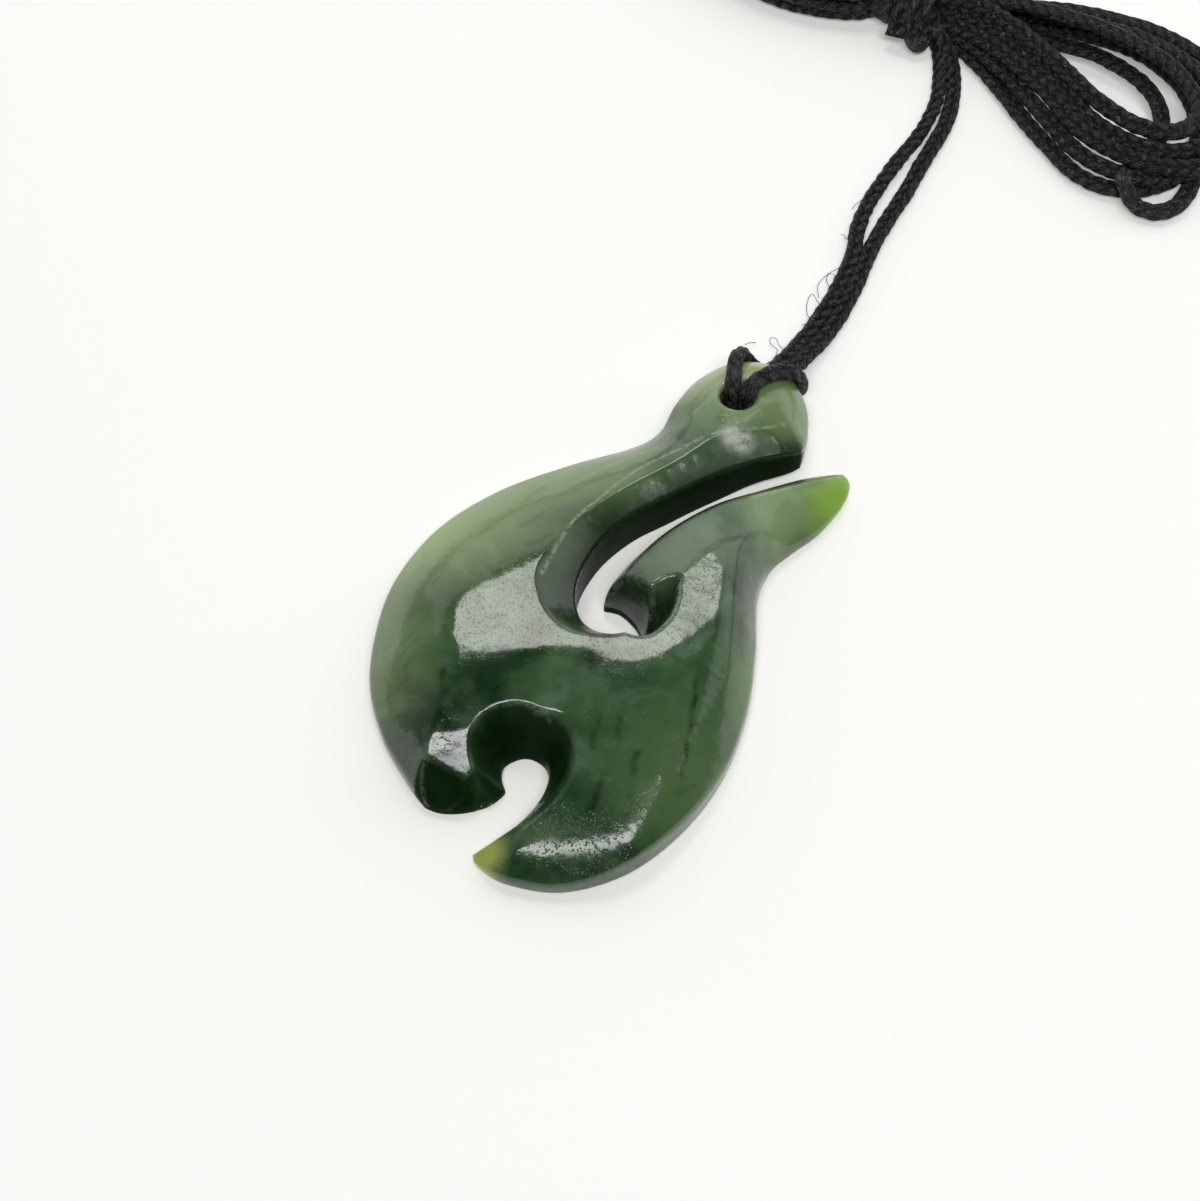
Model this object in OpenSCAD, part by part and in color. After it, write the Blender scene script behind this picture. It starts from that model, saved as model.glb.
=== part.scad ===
// Hei matau pendant: a fish hook carved in greenstone, on a black braided
// neck cord that is hitched through the head and tied up in a hank.
// It lies on its flat back. +Y runs from the bend of the hook to the head,
// and the origin is under the middle of the stone.

/* [Stone] */
// Length of the hook from the tongue to the top of the head
stone_length = 51; // [45:0.5:58]
// Greatest thickness of the stone
stone_thickness = 6.4; // [5.5:0.1:7.5]
// Step of the grid that the carved face is built on
carving_step = 0.65; // [0.6:0.05:1.5]

/* [Head] */
// Diameter of the hole that the cord is hitched through
hole_diameter = 3; // [2.8:0.1:3.4]
// Width of the countersink round the hole, beyond its diameter
countersink_width = 0.5; // [0.2:0.1:0.8]
// How far the back is ground away under the top of the head
head_relief = 2.4; // [2.2:0.1:2.8]

/* [Cord] */
// Diameter of the neck cord
cord_diameter = 1.1; // [0.9:0.05:1.2]

/* [Hank] */
// Height of the stack of folded cord
hank_height = 4; // [3:0.25:6]
// Length of the binding round the waist of the hank
binding_length = 5; // [3:0.25:6]
// Thickness of the binding
binding_wall = 1.1; // [0.8:0.1:1.6]

/* [Hidden] */

// The carved lines are charted at this length and scaled to the wanted one.
charted_length = 51.1;
plan_scale = stone_length / charted_length;

// Columns of the tables of carved edges
X = 0;
Y = 1;
RIM = 2; // height of the edge above the flat back
RISE = 3; // how fast the face climbs inward from the edge
BOW = 4; // 1 for a rounded face, 0 for a flat bevel

// Inside of the hook, from the head's corner down the slot to the barb
SLOT_EDGE = [
    [8.5, 18.8, 4.0, 0.45, 0],
    [7.7, 17.8, 4.1, 0.45, 0],
    [5.4, 15.6, 4.3, 0.45, 0],
    [3.0, 12.4, 4.5, 0.45, 0],
    [1.0, 9.2, 4.6, 0.45, 0],
    [-0.7, 6.4, 4.6, 0.50, 0],
    [-1.8, 3.2, 4.6, 0.60, 0],
    [-2.0, 0.0, 4.5, 0.65, 0],
    [-1.4, -2.3, 4.4, 0.65, 0],
    [0.0, -4.1, 4.5, 0.80, 0],
    [1.6, -4.8, 4.8, 1.2, 0],
    [3.1, -4.5, 4.9, 1.6, 0],
    [4.3, -3.5, 4.0, 1.8, 0],
    [4.7, -2.4, 1.6, 1.8, 0],
    [4.2, -1.2, 0.8, 1.9, 0],
    [3.0, -0.5, 0.7, 1.9, 0],
    [1.6, -0.3, 0.7, 1.9, 0],
    [0.3, -0.7, 0.8, 1.9, 0],
];
// Outside of the barb and inner side of the point, up to its tip
POINT_EDGE = [
    [0.3, -0.7, 0.8, 1.9, 0],
    [0.1, 0.1, 2.4, 1.4, 0],
    [0.3, 1.3, 3.3, 1.0, 0],
    [1.0, 3.7, 3.6, 1.0, 0],
    [2.2, 7.3, 3.5, 1.0, 0],
    [4.2, 11.2, 3.3, 1.0, 0],
    [6.8, 14.3, 3.1, 1.0, 0],
    [9.6, 17.4, 2.5, 0.9, 1],
    [12.0, 19.8, 1.7, 0.9, 1],
];
// Outside of the hook, from the tip of the point to the tongue
OUTER_EDGE = [
    [12.0, 19.8, 1.7, 0.9, 1],
    [13.0, 19.3, 1.3, 0.9, 1],
    [13.3, 17.5, 1.0, 0.9, 1],
    [12.6, 14.3, 1.0, 1.0, 1],
    [11.4, 11.5, 1.1, 1.2, 1],
    [10.6, 8.9, 1.3, 1.5, 1],
    [11.1, 5.7, 1.4, 1.3, 1],
    [13.4, 0.8, 1.4, 1.2, 1],
    [15.1, -4.3, 1.4, 1.2, 1],
    [15.8, -9.9, 1.4, 1.2, 1],
    [15.1, -15.3, 1.4, 1.2, 1],
    [13.0, -20.3, 1.4, 1.2, 1],
    [9.4, -24.0, 1.3, 1.2, 1],
    [5.2, -25.5, 1.2, 1.1, 1],
    [2.6, -25.3, 1.0, 0.8, 1],
    [1.7, -24.6, 0.9, 0.7, 1],
];
// The notch, from the tongue round to the inner nub of the heel
NOTCH_EDGE = [
    [1.7, -24.6, 0.9, 0.7, 1],
    [2.9, -23.0, 1.5, 0.9, 0],
    [4.0, -21.0, 2.1, 1.1, 0],
    [4.4, -18.7, 2.3, 1.1, 0],
    [4.1, -16.8, 2.2, 1.2, 0],
    [3.2, -15.5, 1.4, 1.8, 0],
    [2.0, -15.2, 0.8, 2.6, 0],
    [0.8, -15.8, 0.8, 2.6, 0],
    [0.2, -16.9, 0.9, 2.2, 0],
    [0.6, -18.0, 1.0, 1.6, 0],
    [1.4, -18.8, 0.8, 1.2, 0],
];
// The ground end of the heel
HEEL_EDGE = [
    [1.4, -18.8, 0.8, 1.2, 0],
    [0.8, -20.4, 0.6, 1.2, 0],
    [-0.6, -21.8, 0.5, 1.2, 0],
    [-2.2, -22.7, 0.5, 1.2, 0],
    [-3.5, -22.9, 0.6, 1.2, 0],
];
// The back of the hook, from the heel up to the head and round it
BACK_EDGE = [
    [-3.5, -22.9, 0.6, 1.2, 0],
    [-5.6, -21.9, 1.0, 1.1, 1],
    [-9.6, -19.3, 1.3, 1.1, 1],
    [-13.0, -15.5, 1.4, 1.1, 1],
    [-15.2, -10.1, 1.5, 1.1, 1],
    [-15.8, -5.5, 1.5, 1.1, 1],
    [-15.0, -0.3, 1.5, 1.1, 1],
    [-12.4, 5.0, 1.5, 1.1, 1],
    [-8.4, 9.9, 1.6, 1.1, 1],
    [-4.7, 13.7, 1.7, 1.2, 1],
    [-3.4, 16.0, 1.9, 1.4, 1],
    [-3.4, 18.7, 2.4, 1.2, 1],
    [-2.8, 21.5, 2.9, 1.1, 1],
    [-1.2, 24.0, 3.3, 1.1, 1],
    [0.9, 25.3, 3.5, 1.1, 1],
    [2.9, 25.6, 3.5, 1.1, 1],
    [5.1, 24.9, 3.3, 1.2, 1],
    [6.9, 23.3, 3.0, 1.5, 1],
    [8.1, 20.9, 2.9, 1.8, 1],
    [8.5, 18.8, 4.0, 1.8, 1],
];
// Floor of the groove that parts the barb from the body
GROOVE = [
    [4.7, -2.4, 1.6, 1.8, 0],
    [4.9, -0.7, 2.6, 1.8, 0],
    [5.1, 0.7, 3.8, 1.6, 0],
    [5.3, 2.1, 5.4, 1.2, 0],
];
// Height of the crown along the stone, as a share of its thickness
CROWN = [[-25.5, 0.74], [-19.5, 0.86], [-12.5, 0.97], [-3.5, 1], [9.5, 0.98], [17.5, 0.86], [26.5, 0.8]];

edge_substeps = 3;
hole_centre = [1.6, 20.5] * plan_scale;
relief_start = 13.5 * plan_scale; // where the ground-off back of the head begins
relief_end = 25.6 * plan_scale;
clearance = 0.1; // gap between neighbouring pieces

// One value of a smooth curve through p1 and p2, at t from 0 to 1
function curve_value(p0, p1, p2, p3, t) =
    0.5 * (2 * p1 + (p2 - p0) * t + (2 * p0 - 5 * p1 + 4 * p2 - p3) * t * t
    + (3 * p1 - p0 - 3 * p2 + p3) * t * t * t);

// A smooth curve through all rows of a table, without its last row
function smooth_rows(rows, n) = [
    for (i = [0 : len(rows) - 2], k = [0 : n - 1])
        curve_value(rows[max(i - 1, 0)], rows[i], rows[i + 1], rows[min(i + 2, len(rows) - 1)], k / n)
];

function plan_scaled(row) = [row[X] * plan_scale, row[Y] * plan_scale, row[RIM], row[RISE], row[BOW]];

EDGES = [
    for (table = [SLOT_EDGE, POINT_EDGE, OUTER_EDGE, NOTCH_EDGE, HEEL_EDGE, BACK_EDGE],
         row = smooth_rows(table, edge_substeps))
        plan_scaled(row)
];
GROOVE_LINE = [for (row = smooth_rows(GROOVE, 2)) plan_scaled(row)];
EDGE_COUNT = len(EDGES);
// Pairs of rows that the face is worked out from
STRETCHES = concat(
    [for (i = [0 : EDGE_COUNT - 1]) [EDGES[i], EDGES[(i + 1) % EDGE_COUNT]]],
    [for (i = [0 : len(GROOVE_LINE) - 2]) [GROOVE_LINE[i], GROOVE_LINE[i + 1]]]);

// Height of the face at distance d inward from an edge row, under a crown
function face_from_edge(row, d, crown) =
    let (flat = min(row[RIM] + row[RISE] * d, crown),
         width = 2 * (crown - row[RIM]) / row[RISE],
         t = min(d / width, 1),
         bowed = row[RIM] + (crown - row[RIM]) * t * (2 - t))
    flat + (bowed - flat) * max(0, min(1, row[BOW]));

// Distance from p to the stretch from a to b, and the row at the nearest place
function nearest_on(p, a, b) =
    let (run = [b[X] - a[X], b[Y] - a[Y]],
         off = [p[X] - a[X], p[Y] - a[Y]],
         t = max(0, min(1, (off * run) / (run * run))))
    [norm(off - run * t), a + (b - a) * t];

function crown_height(y) = stone_thickness * lookup(y / plan_scale, CROWN);

// Whether the line from p towards +X crosses the edge from a to b
function crosses(p, a, b) =
    (a[Y] > p[Y]) != (b[Y] > p[Y])
    && p[X] < a[X] + (b[X] - a[X]) * (p[Y] - a[Y]) / (b[Y] - a[Y]);

function inside_outline(p) =
    len([for (i = [0 : EDGE_COUNT - 1]) if (crosses(p, EDGES[i], EDGES[(i + 1) % EDGE_COUNT])) i]) % 2 == 1;

// Height of the face at p; past the outline it goes on down at the same slope
function face_height(p) =
    let (crown = crown_height(p[Y]),
         near = [for (s = STRETCHES) nearest_on(p, s[0], s[1])])
    inside_outline(p)
        ? min(crown, min([for (n = near) face_from_edge(n[1], n[0], crown)]))
        : let (d = min([for (n = near) n[0]]),
               row = [for (n = near) if (n[0] == d) n[1]][0])
          row[RIM] - row[RISE] * d;

// The carved face as a block under a grid of heights
module carved_block() {
    low = [-16.3, -26.2] * plan_scale;
    high = [16.4, 26.4] * plan_scale;
    columns = ceil((high[X] - low[X]) / carving_step);
    rows = ceil((high[Y] - low[Y]) / carving_step);
    n = columns + 1;
    m = rows + 1;
    grid = [for (j = [0 : rows], i = [0 : columns]) low + [i, j] * carving_step];
    top = [for (p = grid) [p[X], p[Y], face_height(p)]];
    corner_low = -1;
    floor_ring = concat(
        [for (i = [0 : columns]) i],
        [for (j = [1 : rows]) j * n + columns],
        [for (i = [columns - 1 : -1 : 0]) rows * n + i],
        [for (j = [rows - 1 : -1 : 1]) j * n]);
    ring_count = len(floor_ring);
    base = [for (k = floor_ring) [top[k][X], top[k][Y], corner_low]];
    faces_top = [
        for (j = [0 : rows - 1], i = [0 : columns - 1], half = [0, 1])
            let (a = j * n + i, b = a + 1, c = a + n, d = c + 1,
                 rising = abs(top[a][2] - top[d][2]) < abs(top[b][2] - top[c][2]))
            rising ? (half == 0 ? [a, d, b] : [a, c, d])
                   : (half == 0 ? [a, c, b] : [b, c, d])
    ];
    faces_side = [
        for (k = [0 : ring_count - 1])
            let (next = (k + 1) % ring_count)
            [floor_ring[k], floor_ring[next], n * m + next, n * m + k]
    ];
    face_base = [[for (k = [0 : ring_count - 1]) n * m + k]];
    polyhedron(concat(top, base), concat(faces_top, faces_side, face_base));
}

// The part of the back that is ground off under the head
module head_relief_cut() {
    angle = atan2(head_relief, relief_end - relief_start);
    reach = 40;
    translate([0, relief_start, 0])
        rotate([angle, 0, 0])
            translate([-reach / 2, 0, -reach])
                cube([reach, reach, reach]);
}

module hook_body() {
    overall_width = 31.6 * plan_scale;
    resize([overall_width, 0, 0])
        difference() {
            intersection() {
                carved_block();
                linear_extrude(height = 2 * stone_thickness)
                    polygon([for (row = EDGES) [row[X], row[Y]]]);
            }
            head_relief_cut();
        }
}

// Drilled from both sides, with the rims of the hole eased
module cord_hole() {
    r = hole_diameter / 2;
    top = crown_height(hole_centre[1]);
    translate(hole_centre) {
        translate([0, 0, -1])
            cylinder(h = stone_thickness + 2, r = r, $fn = 48);
        translate([0, 0, top - countersink_width])
            cylinder(h = 2 * countersink_width, r1 = r, r2 = r + 2 * countersink_width, $fn = 48);
    }
}

module hook_stone() {
    color("#4a6b41")
        difference() {
            hook_body();
            cord_hole();
        }
}

// Route of the neck cord: down one strand from the binding, under the head
// and up through the hole, over the head as the loop of the hitch, back
// through the hole and up the other strand
CORD_ROUTE = [
    [-2.1, 67.9, 0.7], [-1.5, 67.9, 0.7], [-0.6, 66.7, 0.6], [0.7, 64.1, 0.6], [1.6, 61.5, 0.6],
    [1.9, 58.9, 0.6],
    [1.9, 56.3, 0.6], [1.5, 53.3, 0.6], [1.3, 50.1, 0.6], [1.3, 47.1, 0.6], [1.7, 44.3, 0.6],
    [2.5, 41.9, 0.6], [2.8, 39.7, 0.6], [3.0, 37.4, 0.6], [3.0, 35.0, 0.6], [2.9, 32.5, 0.7],
    [2.7, 30.0, 1.1], [2.6, 27.9, 1.8], [2.4, 26.5, 2.0], [2.1, 25.2, 1.6], [1.6, 23.7, 0.9],
    [1.2, 22.3, 0.6], [0.9, 21.1, 0.9], [0.9, 20.6, 2.0], [0.9, 20.6, 3.6], [0.9, 20.8, 5.0],
    [0.6, 21.6, 5.8], [0.2, 22.6, 5.6], [-0.2, 23.7, 5.2], [-0.4, 24.8, 4.4], [-0.4, 25.4, 3.4],
    [0.1, 25.8, 2.1], [0.9, 26.1, 1.0], [2.2, 26.1, 0.6], [3.6, 26.1, 0.6], [4.6, 26.1, 1.0],
    [5.1, 25.9, 1.9], [5.0, 25.8, 3.1], [4.7, 25.3, 4.3], [4.1, 24.5, 5.1], [3.4, 23.5, 5.8],
    [2.9, 22.5, 6.0], [2.5, 21.6, 6.0], [2.3, 20.9, 5.2], [2.3, 20.6, 3.6], [2.3, 20.6, 2.0],
    [2.3, 21.1, 0.9], [2.5, 22.3, 0.6], [2.9, 23.7, 0.9], [3.3, 25.2, 1.6], [3.6, 26.5, 2.0],
    [3.8, 27.9, 1.8], [4.0, 30.0, 1.1], [4.3, 32.5, 0.7], [4.4, 35.0, 0.6], [4.3, 37.4, 0.6],
    [4.1, 39.7, 0.6], [3.8, 41.9, 0.6], [3.6, 44.3, 0.6], [3.6, 47.1, 0.6], [3.7, 50.1, 0.6],
    [3.6, 53.3, 0.6], [3.6, 56.3, 0.6], [3.5, 59.3, 0.6], [2.9, 62.1, 0.6], [1.8, 64.7, 0.7],
    [0.7, 66.4, 1.1], [-0.6, 67.5, 1.6], [-1.5, 68.0, 1.9], [-2.2, 68.0, 1.9],
];
cord_sides = 8;

function unit(v) = v / norm(v);

// Direction of the route at point i
function heading(route, i) = unit(route[min(i + 1, len(route) - 1)] - route[max(i - 1, 0)]);

// A side vector carried along the route, so that the tube doesn't twist
function carried_side(side, along) = unit(side - (side * along) * along);

function side_vectors(route, i, side) =
    i >= len(route) ? []
    : let (next = carried_side(side, heading(route, i)))
      concat([next], side_vectors(route, i + 1, next));

module swept_tube(route, radius, sides) {
    across = side_vectors(route, 0, [0, 0, 1]);
    count = len(route);
    // The corners touch a circle a little wider, so the tube keeps its area.
    reach = radius / sqrt(cos(180 / sides));
    points = [
        for (i = [0 : count - 1], k = [0 : sides - 1])
            let (u = across[i], v = cross(heading(route, i), u), angle = 360 * (k + 0.5) / sides)
            route[i] + reach * (u * cos(angle) + v * sin(angle))
    ];
    walls = [
        for (i = [0 : count - 2], k = [0 : sides - 1])
            let (a = i * sides + k, b = i * sides + (k + 1) % sides)
            [a, a + sides, b + sides, b]
    ];
    start_cap = [[for (k = [0 : sides - 1]) k]];
    end_cap = [[for (k = [sides - 1 : -1 : 0]) (count - 1) * sides + k]];
    polyhedron(points, concat(walls, start_cap, end_cap));
}

module neck_cord() {
    color("#1c1c1e")
        swept_tube(CORD_ROUTE, cord_diameter / 2, cord_sides);
}

// Outline of the folded cord, with its waist in the binding
binding_centre = [-4.8, 70.7];
waist_width = 4.2;
HANK_OUTLINE = [
    [-2.0, 68.8], [1.8, 67.8], [6.6, 64.5], [12.4, 61.0], [17.6, 58.4], [22.6, 59.5], [26.8, 62.1],
    [29.4, 65.7], [29.4, 70.1], [26.4, 74.3], [21.8, 77.3], [15.6, 78.5], [9.0, 77.1], [2.6, 74.5],
    [-2.0, 72.6], [-8.0, 72.6], [-13.0, 75.7], [-19.6, 78.5], [-26.6, 78.9], [-32.0, 76.3],
    [-34.0, 72.1], [-31.6, 68.1], [-26.0, 65.7], [-19.6, 64.9], [-13.4, 65.7], [-8.0, 68.8],
];
HANK_EYES = [
    [[8.6, 71.3], [13.4, 69.4], [19.2, 68.7], [20.6, 69.7], [15.4, 71.9]],
    [[-15.6, 71.1], [-20.8, 69.7], [-27.2, 70.9], [-27.8, 72.7], [-21.4, 73.7]],
];

function closed_curve(points, n) =
    let (count = len(points))
    [
        for (i = [0 : count - 1], k = [0 : n - 1])
            curve_value(points[(i + count - 1) % count], points[i], points[(i + 1) % count],
                        points[(i + 2) % count], k / n)
    ];

module cord_hank() {
    color("#1c1c1e")
        linear_extrude(height = hank_height)
            difference() {
                polygon(closed_curve(HANK_OUTLINE, 2));
                for (eye = HANK_EYES)
                    polygon(closed_curve(eye, 3));
            }
}

module hank_binding() {
    inner = [binding_length + 2, waist_width + 2 * clearance, hank_height + clearance];
    outer = [binding_length, inner[1] + 2 * binding_wall, inner[2] + binding_wall];
    color("#222224")
        translate(concat(binding_centre, 0))
            difference() {
                translate([-outer[0] / 2, -outer[1] / 2, 0])
                    cube(outer);
                translate([-inner[0] / 2, -inner[1] / 2, -1])
                    cube(inner + [0, 0, 1]);
            }
}

hook_stone();
neck_cord();
cord_hank();
hank_binding();
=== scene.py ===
"""Hei matau pendant: a fish hook carved in greenstone on a black braided neck cord."""
import math

import bmesh
import bpy
import numpy as np
from mathutils import Matrix, Vector


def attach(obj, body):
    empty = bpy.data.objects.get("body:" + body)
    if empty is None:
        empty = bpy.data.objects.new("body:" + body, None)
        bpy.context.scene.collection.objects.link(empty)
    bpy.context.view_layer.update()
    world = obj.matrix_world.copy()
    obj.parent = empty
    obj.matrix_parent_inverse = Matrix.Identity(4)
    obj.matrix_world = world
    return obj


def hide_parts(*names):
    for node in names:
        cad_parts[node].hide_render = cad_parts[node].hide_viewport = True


MM = 0.001
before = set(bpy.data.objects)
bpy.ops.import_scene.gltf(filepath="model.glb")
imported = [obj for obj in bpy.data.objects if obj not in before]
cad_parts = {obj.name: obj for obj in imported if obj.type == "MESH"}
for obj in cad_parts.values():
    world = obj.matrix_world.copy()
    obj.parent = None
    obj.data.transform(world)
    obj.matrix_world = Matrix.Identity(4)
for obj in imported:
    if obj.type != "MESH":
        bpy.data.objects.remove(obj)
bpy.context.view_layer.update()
scene = bpy.context.scene

# Outline and face of the stone, as in the solid. Columns: x, y, height of the
# rim, how fast the face climbs inward, and 1 for a rounded or 0 for a flat face.
SLOT_EDGE = [
    (8.5, 18.8, 4.0, 0.45, 0), (7.7, 17.8, 4.1, 0.45, 0), (5.4, 15.6, 4.3, 0.45, 0),
    (3.0, 12.4, 4.5, 0.45, 0), (1.0, 9.2, 4.6, 0.45, 0), (-0.7, 6.4, 4.6, 0.50, 0),
    (-1.8, 3.2, 4.6, 0.60, 0), (-2.0, 0.0, 4.5, 0.65, 0), (-1.4, -2.3, 4.4, 0.65, 0),
    (0.0, -4.1, 4.5, 0.80, 0), (1.6, -4.8, 4.8, 1.2, 0), (3.1, -4.5, 4.9, 1.6, 0),
    (4.2, -3.5, 4.4, 2.2, 0), (4.5, -2.5, 1.6, 2.6, 0), (4.1, -1.5, 1.1, 3.0, 0),
    (3.0, -0.8, 1.1, 3.3, 0), (1.6, -0.4, 1.2, 3.4, 0), (0.3, -0.7, 1.3, 3.4, 0),
]
POINT_EDGE = [
    (0.3, -0.7, 1.3, 2.4, 0), (0.1, 0.1, 1.8, 2.2, 0), (0.3, 1.3, 2.5, 2.0, 0),
    (1.0, 3.7, 3.1, 1.8, 0), (2.2, 7.3, 3.2, 1.6, 0), (4.2, 11.2, 2.9, 1.5, 0),
    (6.8, 14.3, 2.7, 1.4, 0.3), (9.6, 17.4, 2.5, 0.9, 1), (12.0, 19.8, 1.7, 0.9, 1),
]
OUTER_EDGE = [
    (12.0, 19.8, 1.7, 0.9, 1), (13.0, 19.3, 1.3, 0.9, 1), (13.3, 17.5, 1.0, 0.9, 1),
    (12.6, 14.3, 1.0, 1.0, 1), (11.4, 11.5, 1.1, 1.3, 1), (10.6, 8.9, 1.4, 2.2, 1),
    (11.1, 5.7, 1.8, 3.0, 1), (13.4, 0.8, 1.7, 2.6, 1), (15.1, -4.3, 1.7, 1.9, 1),
    (15.8, -9.9, 1.9, 1.3, 1), (15.1, -15.3, 2.4, 1.1, 1), (13.0, -20.3, 2.7, 0.95, 1),
    (9.4, -24.0, 1.5, 1.0, 1), (5.2, -25.5, 1.4, 1.0, 1), (2.6, -25.3, 1.2, 0.9, 1),
    (1.7, -24.6, 0.9, 0.7, 1),
]
NOTCH_EDGE = [
    (1.7, -24.6, 0.9, 0.7, 1), (2.9, -23.0, 1.5, 1.1, 0), (4.0, -21.0, 2.1, 1.4, 0),
    (4.4, -18.7, 2.1, 1.4, 0), (4.1, -16.8, 1.9, 1.4, 0), (3.4, -15.7, 1.6, 1.5, 0),
    (2.6, -15.3, 0.9, 2.3, 0), (1.6, -15.3, 0.8, 2.5, 0), (0.8, -15.8, 0.8, 2.1, 0),
    (0.2, -16.9, 0.9, 1.7, 0), (0.6, -18.0, 1.0, 1.3, 0), (1.4, -18.8, 0.8, 1.2, 0),
]
HEEL_EDGE = [
    (1.4, -18.8, 0.8, 1.2, 0), (0.8, -20.4, 0.7, 1.5, 0), (-0.6, -21.8, 0.8, 2.0, 0),
    (-2.2, -22.7, 0.8, 2.2, 0), (-3.5, -22.9, 0.9, 2.2, 0),
]
BACK_EDGE = [
    (-3.5, -22.9, 0.9, 2.2, 0), (-5.6, -21.9, 1.5, 2.0, 1), (-9.6, -19.3, 1.4, 1.25, 1),
    (-13.0, -15.5, 1.4, 1.38, 1), (-15.2, -10.1, 1.5, 1.33, 1), (-15.8, -5.5, 1.5, 1.2, 1),
    (-15.0, -0.3, 1.5, 1.0, 1), (-12.4, 5.0, 1.5, 0.9, 1), (-8.4, 9.9, 1.6, 0.95, 1),
    (-4.7, 13.7, 1.7, 1.2, 1), (-3.4, 16.0, 1.9, 1.4, 1), (-3.4, 18.7, 2.4, 1.2, 1),
    (-2.8, 21.5, 2.9, 1.1, 1), (-1.2, 24.0, 3.3, 1.1, 1), (0.9, 25.3, 3.5, 1.1, 1),
    (2.9, 25.6, 3.5, 1.1, 1), (5.1, 24.9, 3.3, 1.2, 1), (6.9, 23.3, 3.0, 1.5, 1),
    (8.1, 20.9, 2.9, 1.8, 1), (8.5, 18.8, 4.0, 1.8, 1),
]
# Foot of the step between the barb and the body. The face climbs slowly from
# it towards the barb, and steeply on the body's side.
GROOVE = [
    (4.5, -2.5, 1.6, 2.0, 0), (5.0, -1.6, 2.3, 1.9, 0), (5.4, -0.6, 3.3, 1.5, 0),
    (5.6, 0.5, 4.5, 1.0, 0), (5.6, 1.6, 5.9, 0.6, 0),
]
STEP_RISE = 2.3
CROWN = [(-25.5, 0.9), (-19.5, 0.96), (-13.5, 1), (-5.5, 1), (-1.5, 0.99), (3, 0.965),
         (9.5, 0.925), (17.5, 0.85), (26.5, 0.8)]
# The brow of the body: past it, the face falls away towards the bend
BROW = [
    (-14, -19), (-7.6, -15.6), (-4.7, -11.9), (-1.2, -9.0), (2.2, -7.3), (4.8, -7.1),
    (7.4, -5.2), (9.3, -1.4), (10.0, 2.0), (10.0, 5.6), (10.2, 9.5), (10.5, 14),
]
BROW_SLOPE, BROW_EASE, BROW_ROUND = 0.2, 2.0, 1.3
# Flats ground on the heel and on the tip of the bend: the part of the plan
# that each may cut, a point on it, and its slopes along X and Y
FLATS = [
    ((-9, 1.8, -24, -14), (-3.5, -22.9, 0.9), (-0.36, 1.3)),
    ((-9, 1.8, -24, -14), (-2.65, -20.1, 3.9), (-0.3, 0.4)),
    ((0, 7, -27, -20), (4.6, -24.0, 2.5), (0.75, 0.30)),
]
THICKNESS = 6.4
PLAN_SCALE = 51 / 51.1
HOLE = (1.6 * PLAN_SCALE, 20.5 * PLAN_SCALE)
HOLE_RADIUS = 1.5
RELIEF_START, RELIEF_END, RELIEF_DEPTH = 13.5, 25.6, 2.4
RELIEF_ANGLE = math.atan2(RELIEF_DEPTH, RELIEF_END - RELIEF_START)
# Points of the plan worked out at a time
BATCH = 4000


def curve_value(p0, p1, p2, p3, t):
    """Value at t from 0 to 1 of a smooth curve through p1 and p2."""
    return 0.5 * (2 * p1 + (p2 - p0) * t + (2 * p0 - 5 * p1 + 4 * p2 - p3) * t ** 2
                  + (3 * p1 - p0 - 3 * p2 + p3) * t ** 3)


def smooth_rows(rows, n, last=False):
    """A smooth curve through all rows, n steps between two of them."""
    rows = np.array(rows, float)
    out = []
    for i in range(len(rows) - 1):
        p0, p3 = rows[max(i - 1, 0)], rows[min(i + 2, len(rows) - 1)]
        out += [curve_value(p0, rows[i], rows[i + 1], p3, k / n) for k in range(n)]
    if last:
        out.append(rows[-1])
    return np.array(out)


def stone_edges(n):
    tables = (SLOT_EDGE, POINT_EDGE, OUTER_EDGE, NOTCH_EDGE, HEEL_EDGE, BACK_EDGE)
    rows = np.vstack([smooth_rows(t, n) for t in tables])
    rows[:, :2] *= PLAN_SCALE
    return rows


def crown_height(y):
    keys = np.array(CROWN)
    return THICKNESS * np.interp(y / PLAN_SCALE, keys[:, 0], keys[:, 1])


def face_from_edge(rim, rise, bow, d, crown):
    flat = np.minimum(rim + rise * d, crown)
    t = np.minimum(d * rise / (2 * (crown - rim)), 1)
    bowed = rim + (crown - rim) * t * (2 - t)
    return flat + (bowed - flat) * np.clip(bow, 0, 1)


def to_segments(a, b, x, y):
    """The nearest place on each segment, as a share of its length, and how far it is."""
    run = b[:, :2] - a[:, :2]
    t = ((x - a[:, 0]) * run[:, 0] + (y - a[:, 1]) * run[:, 1]) / (run ** 2).sum(1)
    t = np.clip(t, 0, 1)
    return t, np.hypot(x - a[:, 0] - run[:, 0] * t, y - a[:, 1] - run[:, 1] * t)


def side_of(a, b, x, y):
    """Below 0 where x, y lies to the right of the line from a to b."""
    run = b - a
    return run[..., 0] * (y - a[..., 1]) - run[..., 1] * (x - a[..., 0])


def past_brow(x, y):
    """How far x, y lies past the brow."""
    line = smooth_rows(BROW, 4, True)
    a, b = line[:-1], line[1:]
    d = to_segments(a, b, x[:, None], y[:, None])[1]
    near = d.argmin(1)
    return np.where(side_of(a[near], b[near], x, y) < 0, d.min(1), 0)


def barb_face(x, y):
    """The face of the barb and the horn: low along the slot."""
    edge = np.array(POINT_EDGE)
    face = 4.5 - 0.04 * (y - 3) + 0.33 * (x - np.interp(y, edge[:, 1], edge[:, 0]))
    return np.where((y > -1.5) & (x > -1.2 + 0.22 * y + 0.019 * y * y), face, 99)


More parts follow.
